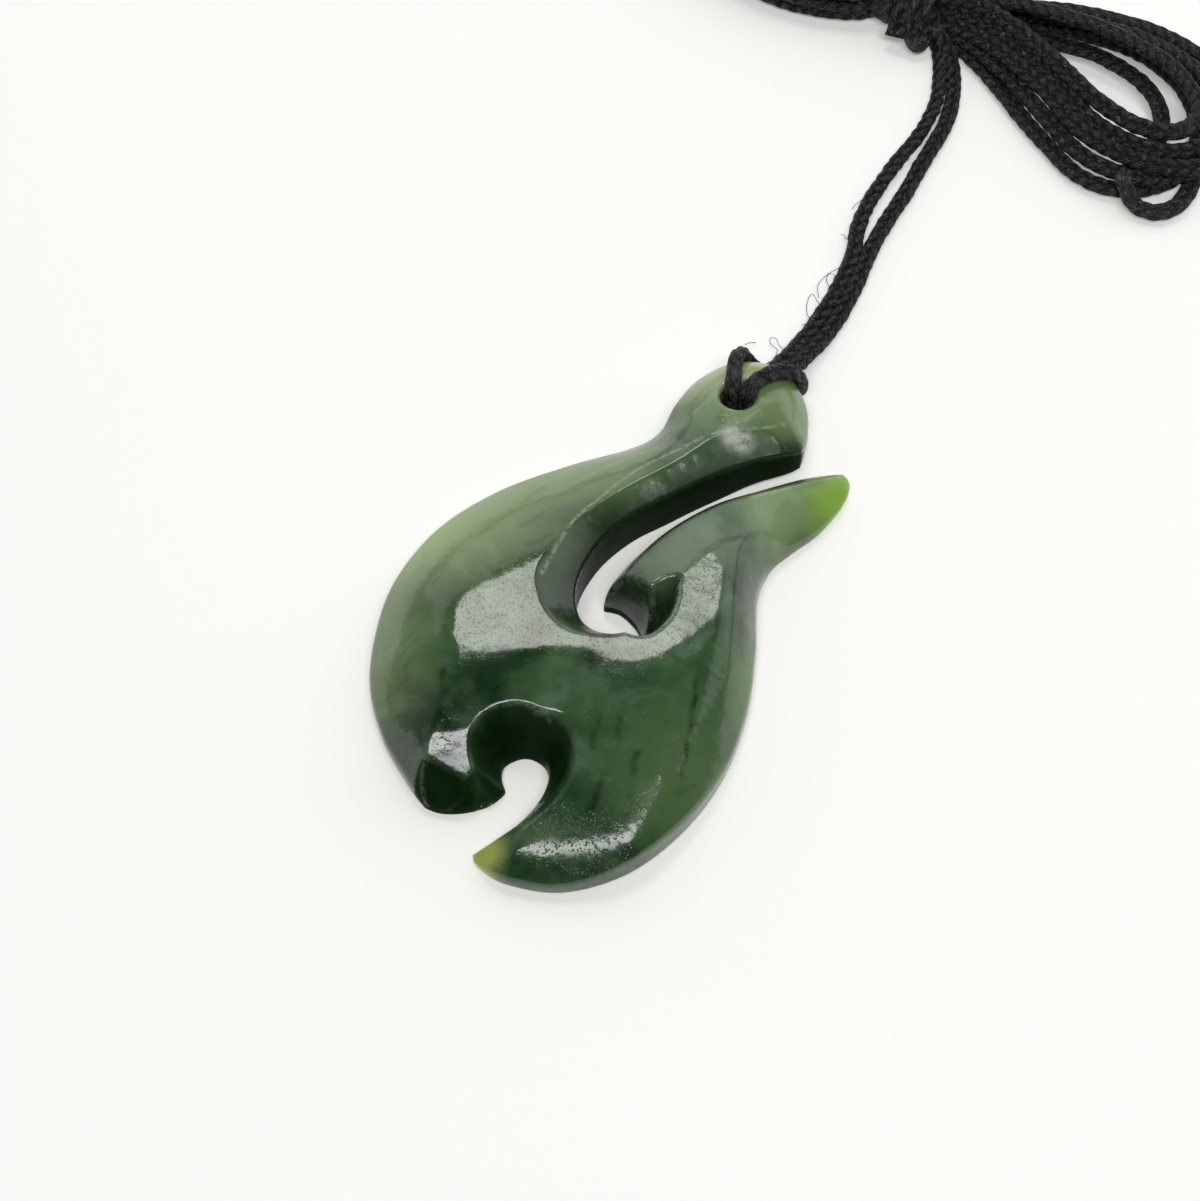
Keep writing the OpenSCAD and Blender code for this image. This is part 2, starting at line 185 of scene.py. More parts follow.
def cut_to_flats(h, x, y):
    """The face h, cut down where a flat is ground."""
    for (x0, x1, y0, y1), (fx, fy, fz), (sx, sy) in FLATS:
        flat = fz + sx * (x - fx) + sy * (y - fy)
        near = (x > x0) & (x < x1) & (y > y0) & (y < y1)
        h = np.where(near, np.minimum(h, flat), h)
    return h


def inside_outline(a, b, x, y):
    """Whether x, y lies inside the closed outline of the segments from a to b."""
    ay, by = a[:, 1], b[:, 1]
    across = (ay > y) != (by > y)
    cut = a[:, 0] + (b[:, 0] - a[:, 0]) * (y - ay) / np.where(by == ay, 1, by - ay)
    return (across & (x < cut)).sum(1) % 2 == 1


def stone_fields(px, py):
    """Height of the face and signed distance from the outline, below 0 inside."""
    edges = stone_edges(6)
    groove = smooth_rows(GROOVE, 4, True)
    a = np.vstack([edges, groove[:-1]])
    b = np.vstack([np.roll(edges, -1, axis=0), groove[1:]])
    count = len(edges)
    in_groove = np.arange(len(a)) >= count
    height = np.empty_like(px)
    distance = np.empty_like(px)
    for start in range(0, len(px), BATCH):
        part = slice(start, start + BATCH)
        x, y = px[part], py[part]
        column = x[:, None], y[:, None]
        t, d = to_segments(a, b, *column)
        rim, rise, bow = (a[:, k] + (b[:, k] - a[:, k]) * t for k in (2, 3, 4))
        rise = np.where(in_groove & (side_of(a, b, *column) < 0), STEP_RISE, rise)
        crown = crown_height(y)
        h = face_from_edge(rim, rise, bow, d, crown[:, None]).min(1)
        h = np.minimum(h, barb_face(x, y))
        past = past_brow(x, y)
        top = crown - BROW_SLOPE * (past - BROW_EASE * (1 - np.exp(-past / BROW_EASE)))
        soft = BROW_ROUND * np.clip(past / 4, 0.01, 1)
        h = np.minimum(h, top) - soft / 4 * np.maximum(1 - abs(h - top) / soft, 0) ** 2
        h = cut_to_flats(h, x, y)
        inside = inside_outline(a[:count], b[:count], *column)
        k = d[:, :count].argmin(1)
        rows = np.arange(len(k))
        near = d[rows, k]
        outer = rim[rows, k] - rise[rows, k] * near
        height[part] = np.where(inside, h, outer)
        distance[part] = np.where(inside, -near, near)
    return height, distance


def blurred(field, sigma, step):
    reach = int(math.ceil(3 * sigma / step))
    kernel = np.exp(-0.5 * (np.arange(-reach, reach + 1) * step / sigma) ** 2)
    kernel /= kernel.sum()
    for axis in (0, 1):
        padded = np.pad(field, [(reach, reach) if k == axis else (0, 0) for k in (0, 1)], "edge")
        field = np.apply_along_axis(lambda v: np.convolve(v, kernel, "valid"), axis, padded)
    return field


def rounded_corner(a, b, radius):
    """Inside of both a and b, with their meeting edge rounded."""
    over = np.hypot(np.maximum(a + radius, 0), np.maximum(b + radius, 0))
    return np.minimum(np.maximum(a, b), -radius) + over


def off_relief(y, z):
    """How far y, z lies below the slope ground on the back of the head."""
    return (y - RELIEF_START) * math.sin(RELIEF_ANGLE) - z * math.cos(RELIEF_ANGLE)


class StoneShape:
    """The stone as a signed field: below 0 inside. Lengths in mm."""

    # The grid's steps in plan and in height, and its corners
    step, level = 0.143, 0.25
    low, high, ceiling = (-16.5, -26.3), (16.5, 26.4), 6.8
    # How far the face is softened, and the rounding of the edges
    softened = 0.13
    rim_round, back_round, hole_round = 0.22, 0.25, 0.45

    def __init__(self):
        nx = int((self.high[0] - self.low[0]) / self.step) + 1
        ny = int((self.high[1] - self.low[1]) / self.step) + 1
        self.xs = self.low[0] + self.step * np.arange(nx)
        self.ys = self.low[1] + self.step * np.arange(ny)
        gx, gy = np.meshgrid(self.xs, self.ys, indexing="ij")
        h, d = stone_fields(gx.ravel(), gy.ravel())
        self.height = blurred(h.reshape(nx, ny), self.softened, self.step)
        self.distance = d.reshape(nx, ny)
        gradient = np.gradient(self.height, self.step)
        self.steep = np.sqrt(1 + gradient[0] ** 2 + gradient[1] ** 2)

    def sampled(self, field, x, y):
        u = np.clip((x - self.xs[0]) / self.step, 0, len(self.xs) - 1.001)
        v = np.clip((y - self.ys[0]) / self.step, 0, len(self.ys) - 1.001)
        i, j = u.astype(int), v.astype(int)
        u, v = u - i, v - j
        return ((field[i, j] * (1 - u) + field[i + 1, j] * u) * (1 - v)
                + (field[i, j + 1] * (1 - u) + field[i + 1, j + 1] * u) * v)

    def value(self, x, y, z, columns=None):
        if columns is None:
            h, d, s = (self.sampled(f, x, y) for f in (self.height, self.distance, self.steep))
        else:
            h, d, s = columns
        top = (z - h) / s
        body = rounded_corner(top, d, self.rim_round)
        body = rounded_corner(body, -z, self.back_round)
        body = rounded_corner(body, off_relief(y, z), self.back_round)
        bore = HOLE_RADIUS - np.hypot(x - HOLE[0], y - HOLE[1])
        return rounded_corner(body, bore, self.hole_round)


# How the corners of the mesh are moved onto the surface: passes, half of the
# span that each slope is taken over, least slope, and longest move in a pass
PASSES, SPAN, LEAST_SLOPE, LONGEST_MOVE = 4, 0.02, 0.2, 0.08


def moved_onto_surface(shape, points):
    for _ in range(PASSES):
        x, y, z = points.T
        here = shape.value(x, y, z)
        slope = np.stack([shape.value(x + SPAN, y, z) - shape.value(x - SPAN, y, z),
                          shape.value(x, y + SPAN, z) - shape.value(x, y - SPAN, z),
                          shape.value(x, y, z + SPAN) - shape.value(x, y, z - SPAN)], 1)
        slope /= 2 * SPAN
        steepness = np.maximum((slope ** 2).sum(1), LEAST_SLOPE)
        move = -here[:, None] * slope / steepness[:, None]
        length = np.linalg.norm(move, axis=1, keepdims=True)
        points = points + move * np.minimum(1, LONGEST_MOVE / np.maximum(length, 1e-9))
    return points


def surface_net(shape):
    """Quads on the zero surface of the field, and their corners in mm."""
    zs = np.arange(-1.5 * shape.level, shape.ceiling, shape.level)
    gx, gy, gz = np.meshgrid(shape.xs, shape.ys, zs, indexing="ij")
    columns = [f[:, :, None] for f in (shape.height, shape.distance, shape.steep)]
    f = shape.value(gx, gy, gz, columns)
    inside = f < 0
    nx, ny, nz = f.shape
    cells = (nx - 1, ny - 1, nz - 1)
    total = np.zeros(cells + (3,))
    hits = np.zeros(cells)
    corners = [(i, j, k) for k in (0, 1) for j in (0, 1) for i in (0, 1)]
    pairs = [(p, q) for p in range(8) for q in range(p + 1, 8)
             if sum(abs(corners[p][k] - corners[q][k]) for k in range(3)) == 1]

    def part(array, c):
        return array[c[0]:c[0] + cells[0], c[1]:c[1] + cells[1], c[2]:c[2] + cells[2]]

    for p, q in pairs:
        fp, fq = part(f, corners[p]), part(f, corners[q])
        cross = (fp < 0) != (fq < 0)
        t = np.where(cross, fp / np.where(cross, fp - fq, 1), 0)
        for k in range(3):
            total[..., k] += np.where(cross, corners[p][k] + (corners[q][k] - corners[p][k]) * t, 0)
        hits += cross
    used = hits > 0
    index = -np.ones(cells, int)
    index[used] = np.arange(used.sum())
    origin = np.array([shape.xs[0], shape.ys[0], zs[0]])
    size = np.array([shape.step, shape.step, shape.level])
    where = np.argwhere(used)
    points = origin + (where + total[used] / hits[used][:, None]) * size
    quads = []
    for axis, (u, v) in ((0, (1, 2)), (1, (2, 0)), (2, (0, 1))):
        ahead = [slice(None)] * 3
        ahead[axis] = slice(1, None)
        behind = [slice(None)] * 3
        behind[axis] = slice(None, -1)
        change = inside[tuple(behind)] != inside[tuple(ahead)]
        at = np.argwhere(change)
        at = at[(at[:, u] > 0) & (at[:, v] > 0)]
        eu, ev = np.eye(3, dtype=int)[u], np.eye(3, dtype=int)[v]
        ring = [index[tuple((at - o).T)] for o in (0 * eu, eu, eu + ev, ev)]
        quad = np.stack(ring, 1)
        outward = inside[tuple(at.T)]
        quad[~outward] = quad[~outward][:, ::-1]
        quads.append(quad)
    return moved_onto_surface(shape, points), np.vstack(quads)


def mesh_object(name, points, faces):
    mesh = bpy.data.meshes.new(name)
    mesh.from_pydata((np.asarray(points) * MM).tolist(), [], [list(map(int, q)) for q in faces])
    mesh.validate()
    mesh.shade_smooth()
    obj = bpy.data.objects.new(name, mesh)
    scene.collection.objects.link(obj)
    return obj


# Small faces this near the back's two planes are swapped for big ones, where
# they lie this far inside the outline and the planes' meeting, and off the hole
ON_PLANE, INSIDE_BY, OFF_HOLE_BY = 1e-3, 0.4, 0.7


def on_flat_back(c, on_relief):
    if on_relief:
        return abs(off_relief(c.y, c.z)) < ON_PLANE and c.y > RELIEF_START + INSIDE_BY
    return c.z < ON_PLANE and c.y < RELIEF_START - INSIDE_BY


def fill_flat_underside(obj, shape):
    """Swaps the small faces of the flat parts of the back for a few big ones."""
    bm = bmesh.new()
    bm.from_mesh(obj.data)
    for on_relief in (False, True):
        gone = []
        for face in bm.faces:
            c = face.calc_center_median() / MM
            if face.normal.z >= 0 or not on_flat_back(c, on_relief):
                continue
            d = float(shape.sampled(shape.distance, np.array([c.x]), np.array([c.y]))[0])
            bore = math.hypot(c.x - HOLE[0], c.y - HOLE[1]) - HOLE_RADIUS
            if d < -INSIDE_BY and bore > OFF_HOLE_BY:
                gone.append(face)
        swapped = set(gone)
        rim = [e for e in bm.edges
               if 0 < sum(f in swapped for f in e.link_faces) < len(e.link_faces)]
        bmesh.ops.delete(bm, geom=gone, context="FACES")
        bmesh.ops.triangle_fill(bm, edges=rim, use_beauty=True)
    loose = [v for v in bm.verts if not v.link_faces]
    bmesh.ops.delete(bm, geom=loose, context="VERTS")
    bmesh.ops.recalc_face_normals(bm, faces=bm.faces)
    bm.to_mesh(obj.data)
    bm.free()


def build_stone():
    shape = StoneShape()
    points, quads = surface_net(shape)
    obj = mesh_object("carved_hook", points, quads)
    fill_flat_underside(obj, shape)
    obj.data.shade_smooth()
    return obj, shape


# Routes of the cord, in mm. The neck cord's is the solid's.
CORD_ROUTE = [
    (-2.1, 67.9, 0.7), (-1.5, 67.9, 0.7), (-0.6, 66.7, 0.6), (0.7, 64.1, 0.6), (1.6, 61.5, 0.6),
    (1.9, 58.9, 0.6), (1.9, 56.3, 0.6), (1.5, 53.3, 0.6), (1.3, 50.1, 0.6), (1.3, 47.1, 0.6),
    (1.7, 44.3, 0.6), (2.5, 41.9, 0.6), (2.8, 39.7, 0.6), (3.0, 37.4, 0.6), (3.0, 35.0, 0.6),
    (2.9, 32.5, 0.7), (2.7, 30.0, 1.1), (2.6, 27.9, 1.8), (2.4, 26.5, 2.0), (2.1, 25.2, 1.6),
    (1.6, 23.7, 0.9), (1.2, 22.3, 0.6), (0.9, 21.1, 0.9), (0.9, 20.6, 2.0), (0.9, 20.6, 3.6),
    (0.9, 20.8, 5.0), (0.6, 21.6, 5.8), (0.2, 22.6, 5.6), (-0.2, 23.7, 5.2), (-0.4, 24.8, 4.4),
    (-0.4, 25.4, 3.4), (0.1, 25.8, 2.1), (0.9, 26.1, 1.0), (2.2, 26.1, 0.6), (3.6, 26.1, 0.6),
    (4.6, 26.1, 1.0), (5.1, 25.9, 1.9), (5.0, 25.8, 3.1), (4.7, 25.3, 4.3), (4.1, 24.5, 5.1),
    (3.4, 23.5, 5.8), (2.9, 22.5, 6.0), (2.5, 21.6, 6.0), (2.3, 20.9, 5.2), (2.3, 20.6, 3.6),
    (2.3, 20.6, 2.0), (2.3, 21.1, 0.9), (2.5, 22.3, 0.6), (2.9, 23.7, 0.9), (3.3, 25.2, 1.6),
    (3.6, 26.5, 2.0), (3.8, 27.9, 1.8), (4.0, 30.0, 1.1), (4.3, 32.5, 0.7), (4.4, 35.0, 0.6),
    (4.3, 37.4, 0.6), (4.1, 39.7, 0.6), (3.8, 41.9, 0.6), (3.6, 44.3, 0.6), (3.6, 47.1, 0.6),
    (3.7, 50.1, 0.6), (3.6, 53.3, 0.6), (3.6, 56.3, 0.6), (3.5, 59.3, 0.6), (2.9, 62.1, 0.6),
    (1.8, 64.7, 0.7), (0.7, 66.4, 1.1), (-0.6, 67.5, 1.6), (-1.5, 68.0, 1.9), (-2.2, 68.0, 1.9),
]
# Right loops of the hank's turns, from the waist round and back to it
RIGHT_LOOPS = [
    [(-1.2, 69.0, 0.7), (1.6, 67.9, 0.7), (4.4, 66.5, 0.7), (6.6, 65.1, 0.7), (9.4, 63.2, 0.7),
     (12.6, 61.3, 0.7), (15.3, 59.8, 0.7), (17.8, 59.2, 0.7), (20.3, 59.5, 0.7), (22.6, 60.9, 0.7),
     (24.3, 63.2, 0.7), (24.8, 66.5, 0.7), (23.8, 70.2, 0.7), (20.8, 73.6, 0.7), (16.5, 75.4, 0.7),
     (11.5, 75.4, 0.7), (6.5, 74.2, 0.7), (1.5, 72.8, 0.7)],
    [(-2.2, 69.4, 1.8), (1.4, 69.0, 2.2), (4.8, 68.0, 2.5), (7.8, 66.8, 2.5), (10.4, 65.6, 2.5),
     (12.8, 64.1, 2.4), (15.4, 62.8, 2.3), (18.8, 62.1, 2.3), (22.4, 62.3, 2.3), (25.4, 63.7, 2.2),
     (27.6, 66.6, 2.0), (28.0, 70.2, 1.9), (26.0, 73.8, 1.9), (22.4, 76.4, 1.9), (17.4, 77.6, 1.9),
     (12.0, 77.2, 1.9), (6.6, 75.7, 1.9), (1.6, 73.4, 1.9)],
    [(-2.2, 70.4, 2.3), (1.6, 70.3, 2.7), (5.2, 69.4, 2.9), (8.4, 68.1, 2.9), (10.8, 67.0, 2.8),
     (13.0, 65.6, 2.7), (15.4, 64.3, 2.6), (18.8, 63.5, 2.6), (22.2, 63.8, 2.6), (24.6, 65.2, 2.6),
     (25.9, 67.6, 2.6), (25.8, 70.4, 2.6), (23.8, 72.8, 2.8), (20.6, 74.5, 3.0), (16.4, 75.2, 3.0),
     (11.8, 74.9, 3.0), (6.9, 74.1, 3.0), (1.8, 72.8, 3.0)],
    [(-2.0, 71.3, 3.0), (0.8, 71.4, 3.4), (4.9, 70.4, 3.6), (9.3, 68.6, 3.6), (12.2, 67.2, 3.6),
     (15.3, 65.8, 3.5), (19.0, 64.9, 3.5), (22.0, 65.3, 3.5), (23.7, 66.8, 3.6), (23.7, 69.0, 3.8),
     (22.0, 71.0, 3.9), (19.2, 72.5, 4.1), (15.5, 73.3, 4.1), (11.2, 73.6, 4.1), (6.4, 73.1, 4.0),
     (1.2, 72.4, 3.6)],
    [(-1.8, 71.6, 0.9), (2.0, 72.3, 1.2), (5.2, 72.4, 1.5), (8.8, 72.2, 1.6), (12.8, 72.6, 1.6),
     (16.8, 71.9, 1.5), (19.6, 70.3, 1.3), (21.1, 67.9, 1.2), (21.3, 65.6, 1.1), (20.6, 63.4, 1.1),
     (20.5, 61.6, 1.4), (20.5, 60.0, 1.9), (21.1, 59.2, 1.7), (22.1, 58.6, 1.0), (23.3, 58.5, 0.7),
     (24.7, 59.0, 0.7), (25.7, 60.3, 0.7), (26.0, 62.2, 0.7), (25.8, 65.0, 0.7), (25.8, 68.6, 0.7),
     (24.8, 72.0, 0.7), (21.6, 75.0, 0.7), (16.8, 76.9, 0.7), (11.2, 76.7, 0.7), (6.2, 75.4, 0.7),
     (1.8, 73.4, 0.8)],
]
# Left loop of the widest turn, from the waist out and back to it
LEFT_LOOP = [
    (-8.4, 71.7), (-13.4, 74.0), (-19.8, 76.6), (-26.2, 77.0), (-31.0, 74.8), (-32.4, 71.4),
    (-30.2, 68.0), (-25.6, 66.5), (-19.6, 65.6), (-14.2, 65.9), (-10.0, 67.3), (-7.6, 69.2),
]
# Size and height of each turn's left loop
LEFT_TURNS = [(1.0, 0.7), (0.94, 1.2), (1.0, 1.9), (0.87, 2.1), (0.95, 3.1), (0.86, 0.8)]
LEFT_CENTRE = (-20.0, 71.3)
# Turns of the binding along X, and its two loose ends
BINDING_TURNS = (-7.5, -6.4, -5.3, -4.2, -3.1)
BINDING_TAIL = [(-5.0, 70.4, 4.9), (-5.0, 68.9, 4.4), (-5.0, 67.5, 3.0), (-4.9, 66.5, 1.9),
                (-4.8, 65.9, 1.4)]
BINDING_LOOP = [(-4.0, 70.0, 4.6), (-3.9, 68.6, 3.9), (-3.6, 67.2, 2.6), (-3.2, 66.3, 1.6),
                (-2.6, 66.1, 1.2), (-2.2, 66.8, 1.4), (-2.2, 68.0, 2.2), (-2.4, 69.2, 3.2)]


def even_path(route, step):
    """Points an even step apart on a smooth curve through the route's points."""
    fine = smooth_rows(route, 24, True)
    run = np.r_[0, np.cumsum(np.linalg.norm(np.diff(fine, axis=0), axis=1))]
    at = np.linspace(0, run[-1], int(round(run[-1] / step)) + 1)
    return np.stack([np.interp(at, run, fine[:, k]) for k in range(3)], 1), at


def carried_frames(path, first):
    """Tangents and two side vectors, carried along without twist."""
    tangent = np.gradient(path, axis=0)
    tangent /= np.linalg.norm(tangent, axis=1, keepdims=True)
    side = np.array(first, float)
    sides = []
    for t in tangent:
        side = side - (side @ t) * t
        side /= np.linalg.norm(side)
        sides.append(side)
    sides = np.array(sides)
    return tangent, sides, np.cross(tangent, sides)


# A cord flattens where it lies on the table, this high
TABLE_GAP = 0.02
# Length of one strand's turn in the plait, how far the strands lean, the
# width of the groove along the middle and how far it swings
PITCH, LEAN, GROOVE_WIDTH, GROOVE_SWING = 1.25, 0.75, 0.2, 0.2
# Slow unevenness of a cord: how fast each wave runs along it and round it
WAVES, WAVE_HEIGHT = ((0.9, 1), (1.7, 2), (2.9, 1), (4.3, 3), (6.1, 2)), 0.02


def tube_faces(count, sides):
    """Faces of a tube of count rings, whose two end points come after the rings."""
    i, k = np.meshgrid(np.arange(count - 1), np.arange(sides), indexing="ij")
    a, b = (i * sides + k).ravel(), (i * sides + (k + 1) % sides).ravel()
    faces = np.stack([a, b, b + sides, a + sides], 1).tolist()
    first, last, base = count * sides, count * sides + 1, (count - 1) * sides
    faces += [(first, (k + 1) % sides, k) for k in range(sides)]
    faces += [(last, base + k, base + (k + 1) % sides) for k in range(sides)]
    return faces


def braid(name, route, width, thickness, flat_way=(0, 0, 1), step=0.18, sides=20, roll=None,
          seed=0, plait=0.1):
    """A flat braid: an oval tube with slanting strands that meet along its middle."""
    path, at = even_path(route, step)
    tangent, normal, across = carried_frames(path, flat_way)
    if roll is not None:
        knots = np.array(roll, float)
        turn_by = np.radians(np.interp(at / at[-1], knots[:, 0], knots[:, 1]))[:, None]
        normal, across = (normal * np.cos(turn_by) + across * np.sin(turn_by),
                          across * np.cos(turn_by) - normal * np.sin(turn_by))
    angle = 2 * np.pi * (np.arange(sides) + 0.5) / sides
    u, v = np.cos(angle), np.sin(angle)
    along = at[:, None] / PITCH
    face = np.where(v > 0, 0.0, 0.5)
    phase = along + LEAN * np.abs(u) + face
    strand = np.abs(np.sin(np.pi * phase)) ** 0.6
    seam = GROOVE_SWING * np.sin(2 * np.pi * (along + face))
    groove = np.exp(-((u - seam) / GROOVE_WIDTH) ** 2)
    rng = np.random.default_rng(seed)
    waves = sum(rng.uniform(0.4, 1) * np.sin(at[:, None] * f + k * angle + rng.uniform(0, 6.28))
                for f, k in WAVES)
    relief = plait * (strand - 0.7) - 1.1 * plait * groove + WAVE_HEIGHT * waves
    half_w, half_t = width / 2 + relief, thickness / 2 + relief
    ring = (path[:, None] + across[:, None] * (half_w * u)[..., None]
            + normal[:, None] * (half_t * v)[..., None])
    ring[..., 2] = np.maximum(ring[..., 2], TABLE_GAP)
    count = len(path)
    points = np.vstack([ring.reshape(-1, 3), path[:1], path[-1:]])
    obj = mesh_object(name, points, tube_faces(count, sides))
    raised = np.clip(1.4 * strand * (1 - groove) - 0.25, 0, 1)
    bent = np.linalg.norm(np.gradient(tangent, at, axis=0), axis=1)
    bent = np.convolve(np.clip(bent * 2 - 0.35, 0, 1), np.ones(9) / 9, "same")
    for mark, values in (("raised", raised), ("bent", np.repeat(bent[:, None], sides, 1))):
        layer = obj.data.attributes.new(mark, "FLOAT", "POINT")
        layer.data.foreach_set("value", np.append(values.ravel(), (0, 0)))
    uv = obj.data.uv_layers.new(name="braid")
    where = np.empty(len(obj.data.loops), int)
    obj.data.loops.foreach_get("vertex_index", where)
    turn_at = np.append(np.tile(np.abs(angle / np.pi - 1), count), (0.5, 0.5))
    along_at = np.append(np.repeat(at, sides), (0, at[-1]))
    uv.data.foreach_set("uv", np.stack([along_at[where], turn_at[where]], 1).ravel())
    return obj, path, at[-1]


def left_loop(size, height):
    """The widest turn's left loop made smaller, but not near the waist."""
    cx, cy = LEFT_CENTRE
    points = []
    for x, y in LEFT_LOOP:
        pull = size if x < -9 else 1
        points.append((cx + (x - cx) * (pull if x < cx else 1), cy + (y - cy) * pull, height))
    return points


def hank_route():
    """All turns of the hank, with one more right loop midway between the first two."""
    lowest, above = RIGHT_LOOPS[:2]
    midway = [tuple((c + d) / 2 for c, d in zip(a, b)) for a, b in zip(lowest, above)]
    loops = [lowest, midway] + RIGHT_LOOPS[1:]
    route = []
    for k, (loop, (size, height)) in enumerate(zip(loops, LEFT_TURNS)):
        route += [(-5.0, 69.3 + 0.3 * k, loop[0][2])] + loop
        route += [(-5.0, 72.0 - 0.2 * k, (loop[-1][2] + height) / 2)] + left_loop(size, height)
    return route


def binding_route():
    route = []
    for x in BINDING_TURNS:
        route += [(x, 68.0, 1.0), (x + 0.1, 67.8, 2.6), (x + 0.2, 68.6, 4.4), (x + 0.3, 70.6, 5.0),
                  (x + 0.4, 72.6, 4.4), (x + 0.5, 73.4, 2.6), (x + 0.6, 72.9, 0.9),
                  (x + 0.8, 70.6, 0.6)]
    return route


def make_cords(look, binding_look):
    neck, neck_path, neck_length = braid(
        "neck_cord_braid", CORD_ROUTE, 1.42, 1.05, step=0.09, sides=28, seed=3, plait=0.11,
        roll=[(0, 60), (0.12, 20), (0.3, 0), (1, 0)])
    hank, hank_path, hank_length = braid("hank_turns", hank_route(), 1.6, 1.1, seed=5, plait=0.095)
    binding = braid("binding_turns", binding_route(), 1.5, 0.9, flat_way=(0, -1, 0), seed=7)[0]
    outward = {"flat_way": (0, -0.3, 1), "step": 0.12}
    tail = braid("binding_tail", BINDING_TAIL, 1.9, 0.8, seed=8, **outward)[0]
    loop = braid("binding_loop", BINDING_LOOP, 1.4, 0.9, seed=9, **outward)[0]
    for piece in (neck, hank, binding, tail, loop):
        tied = piece in (binding, tail, loop)
        piece.data.materials.append(binding_look if tied else look)
        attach(piece, "root")
    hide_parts("neck_cord")
    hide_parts("cord_hank")
    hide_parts("hank_binding")


def new_material(name):
    material = bpy.data.materials.new(name)
    material.use_nodes = True
    nodes, links = material.node_tree.nodes, material.node_tree.links
    nodes.clear()
    out = nodes.new("ShaderNodeOutputMaterial")
    shader = nodes.new("ShaderNodeBsdfPrincipled")
    links.new(shader.outputs[0], out.inputs[0])
    return material, nodes, links, shader


class Nodes:
    """Short forms for the nodes of a material."""

    def __init__(self, nodes, links):
        self.nodes, self.links = nodes, links
        self.place = nodes.new("ShaderNodeTexCoord").outputs["Object"]

    def put(self, socket, value):
        if hasattr(value, "is_output"):
            self.links.new(value, socket)
        else:
            socket.default_value = value

    def noise(self, scale, detail=4, rough=0.55, stretch=(1, 1, 1), turn=0, distort=0,
              at=(0, 0, 0)):
        mapping = self.nodes.new("ShaderNodeMapping")
        mapping.inputs["Scale"].default_value = stretch
        mapping.inputs["Rotation"].default_value = (0, 0, math.radians(turn))
        mapping.inputs["Location"].default_value = at
        mapping.vector_type = "TEXTURE"
        self.links.new(self.place, mapping.inputs[0])
        node = self.nodes.new("ShaderNodeTexNoise")
        self.links.new(mapping.outputs[0], node.inputs["Vector"])
        node.inputs["Scale"].default_value = scale
        node.inputs["Detail"].default_value = detail
        node.inputs["Roughness"].default_value = rough
        node.inputs["Distortion"].default_value = distort
        return node.outputs[0]

    def math(self, kind, a, b=0.0):
        node = self.nodes.new("ShaderNodeMath")
        node.operation = kind
        self.put(node.inputs[0], a)
        self.put(node.inputs[1], b)
        return node.outputs[0]

    def ramp(self, value, low, high, out_low=0.0, out_high=1.0):
        node = self.nodes.new("ShaderNodeMapRange")
        node.interpolation_type = "SMOOTHSTEP"
        for k, v in enumerate((value, low, high, out_low, out_high)):
            self.put(node.inputs[k], v)
        return node.outputs[0]

    def mix(self, factor, a, b):
        node = self.nodes.new("ShaderNodeMix")
        node.data_type = "RGBA"
        self.put(node.inputs[0], factor)
        self.put(node.inputs[6], a)
        self.put(node.inputs[7], b)
        return node.outputs[2]

    def vector(self, kind, a, b):
        node = self.nodes.new("ShaderNodeVectorMath")
        node.operation = kind
        self.links.new(a, node.inputs[0])
        node.inputs[1].default_value = b
        return node.outputs

    def spot(self, centre, radius, wobble=0.0, stretch=(1, 1, 1)):
        """1 near a point of the part, in mm, fading to 0 at the radius."""
        away = self.vector("SUBTRACT", self.place, [c * MM for c in centre])[0]
        scaled = self.vector("MULTIPLY", away, [1 / v for v in stretch])[0]
        far = self.vector("LENGTH", scaled, (0, 0, 0))["Value"]
        if wobble:
            swing = self.math("SUBTRACT", self.noise(260), 0.5)
            swing = self.math("MULTIPLY", swing, wobble * MM * 2)
            far = self.math("ADD", far, swing)
        return self.ramp(far, radius * 0.25 * MM, radius * MM, 1.0, 0.0)

    def attribute(self, name):
        node = self.nodes.new("ShaderNodeAttribute")
        node.attribute_name = name
        return node.outputs["Fac"]

    def bump(self, height, strength, distance, normal=None):
        node = self.nodes.new("ShaderNodeBump")
        node.inputs["Strength"].default_value = strength
        node.inputs["Distance"].default_value = distance
        self.put(node.inputs["Height"], height)
        if normal is not None:
            self.links.new(normal, node.inputs["Normal"])
        return node.outputs[0]


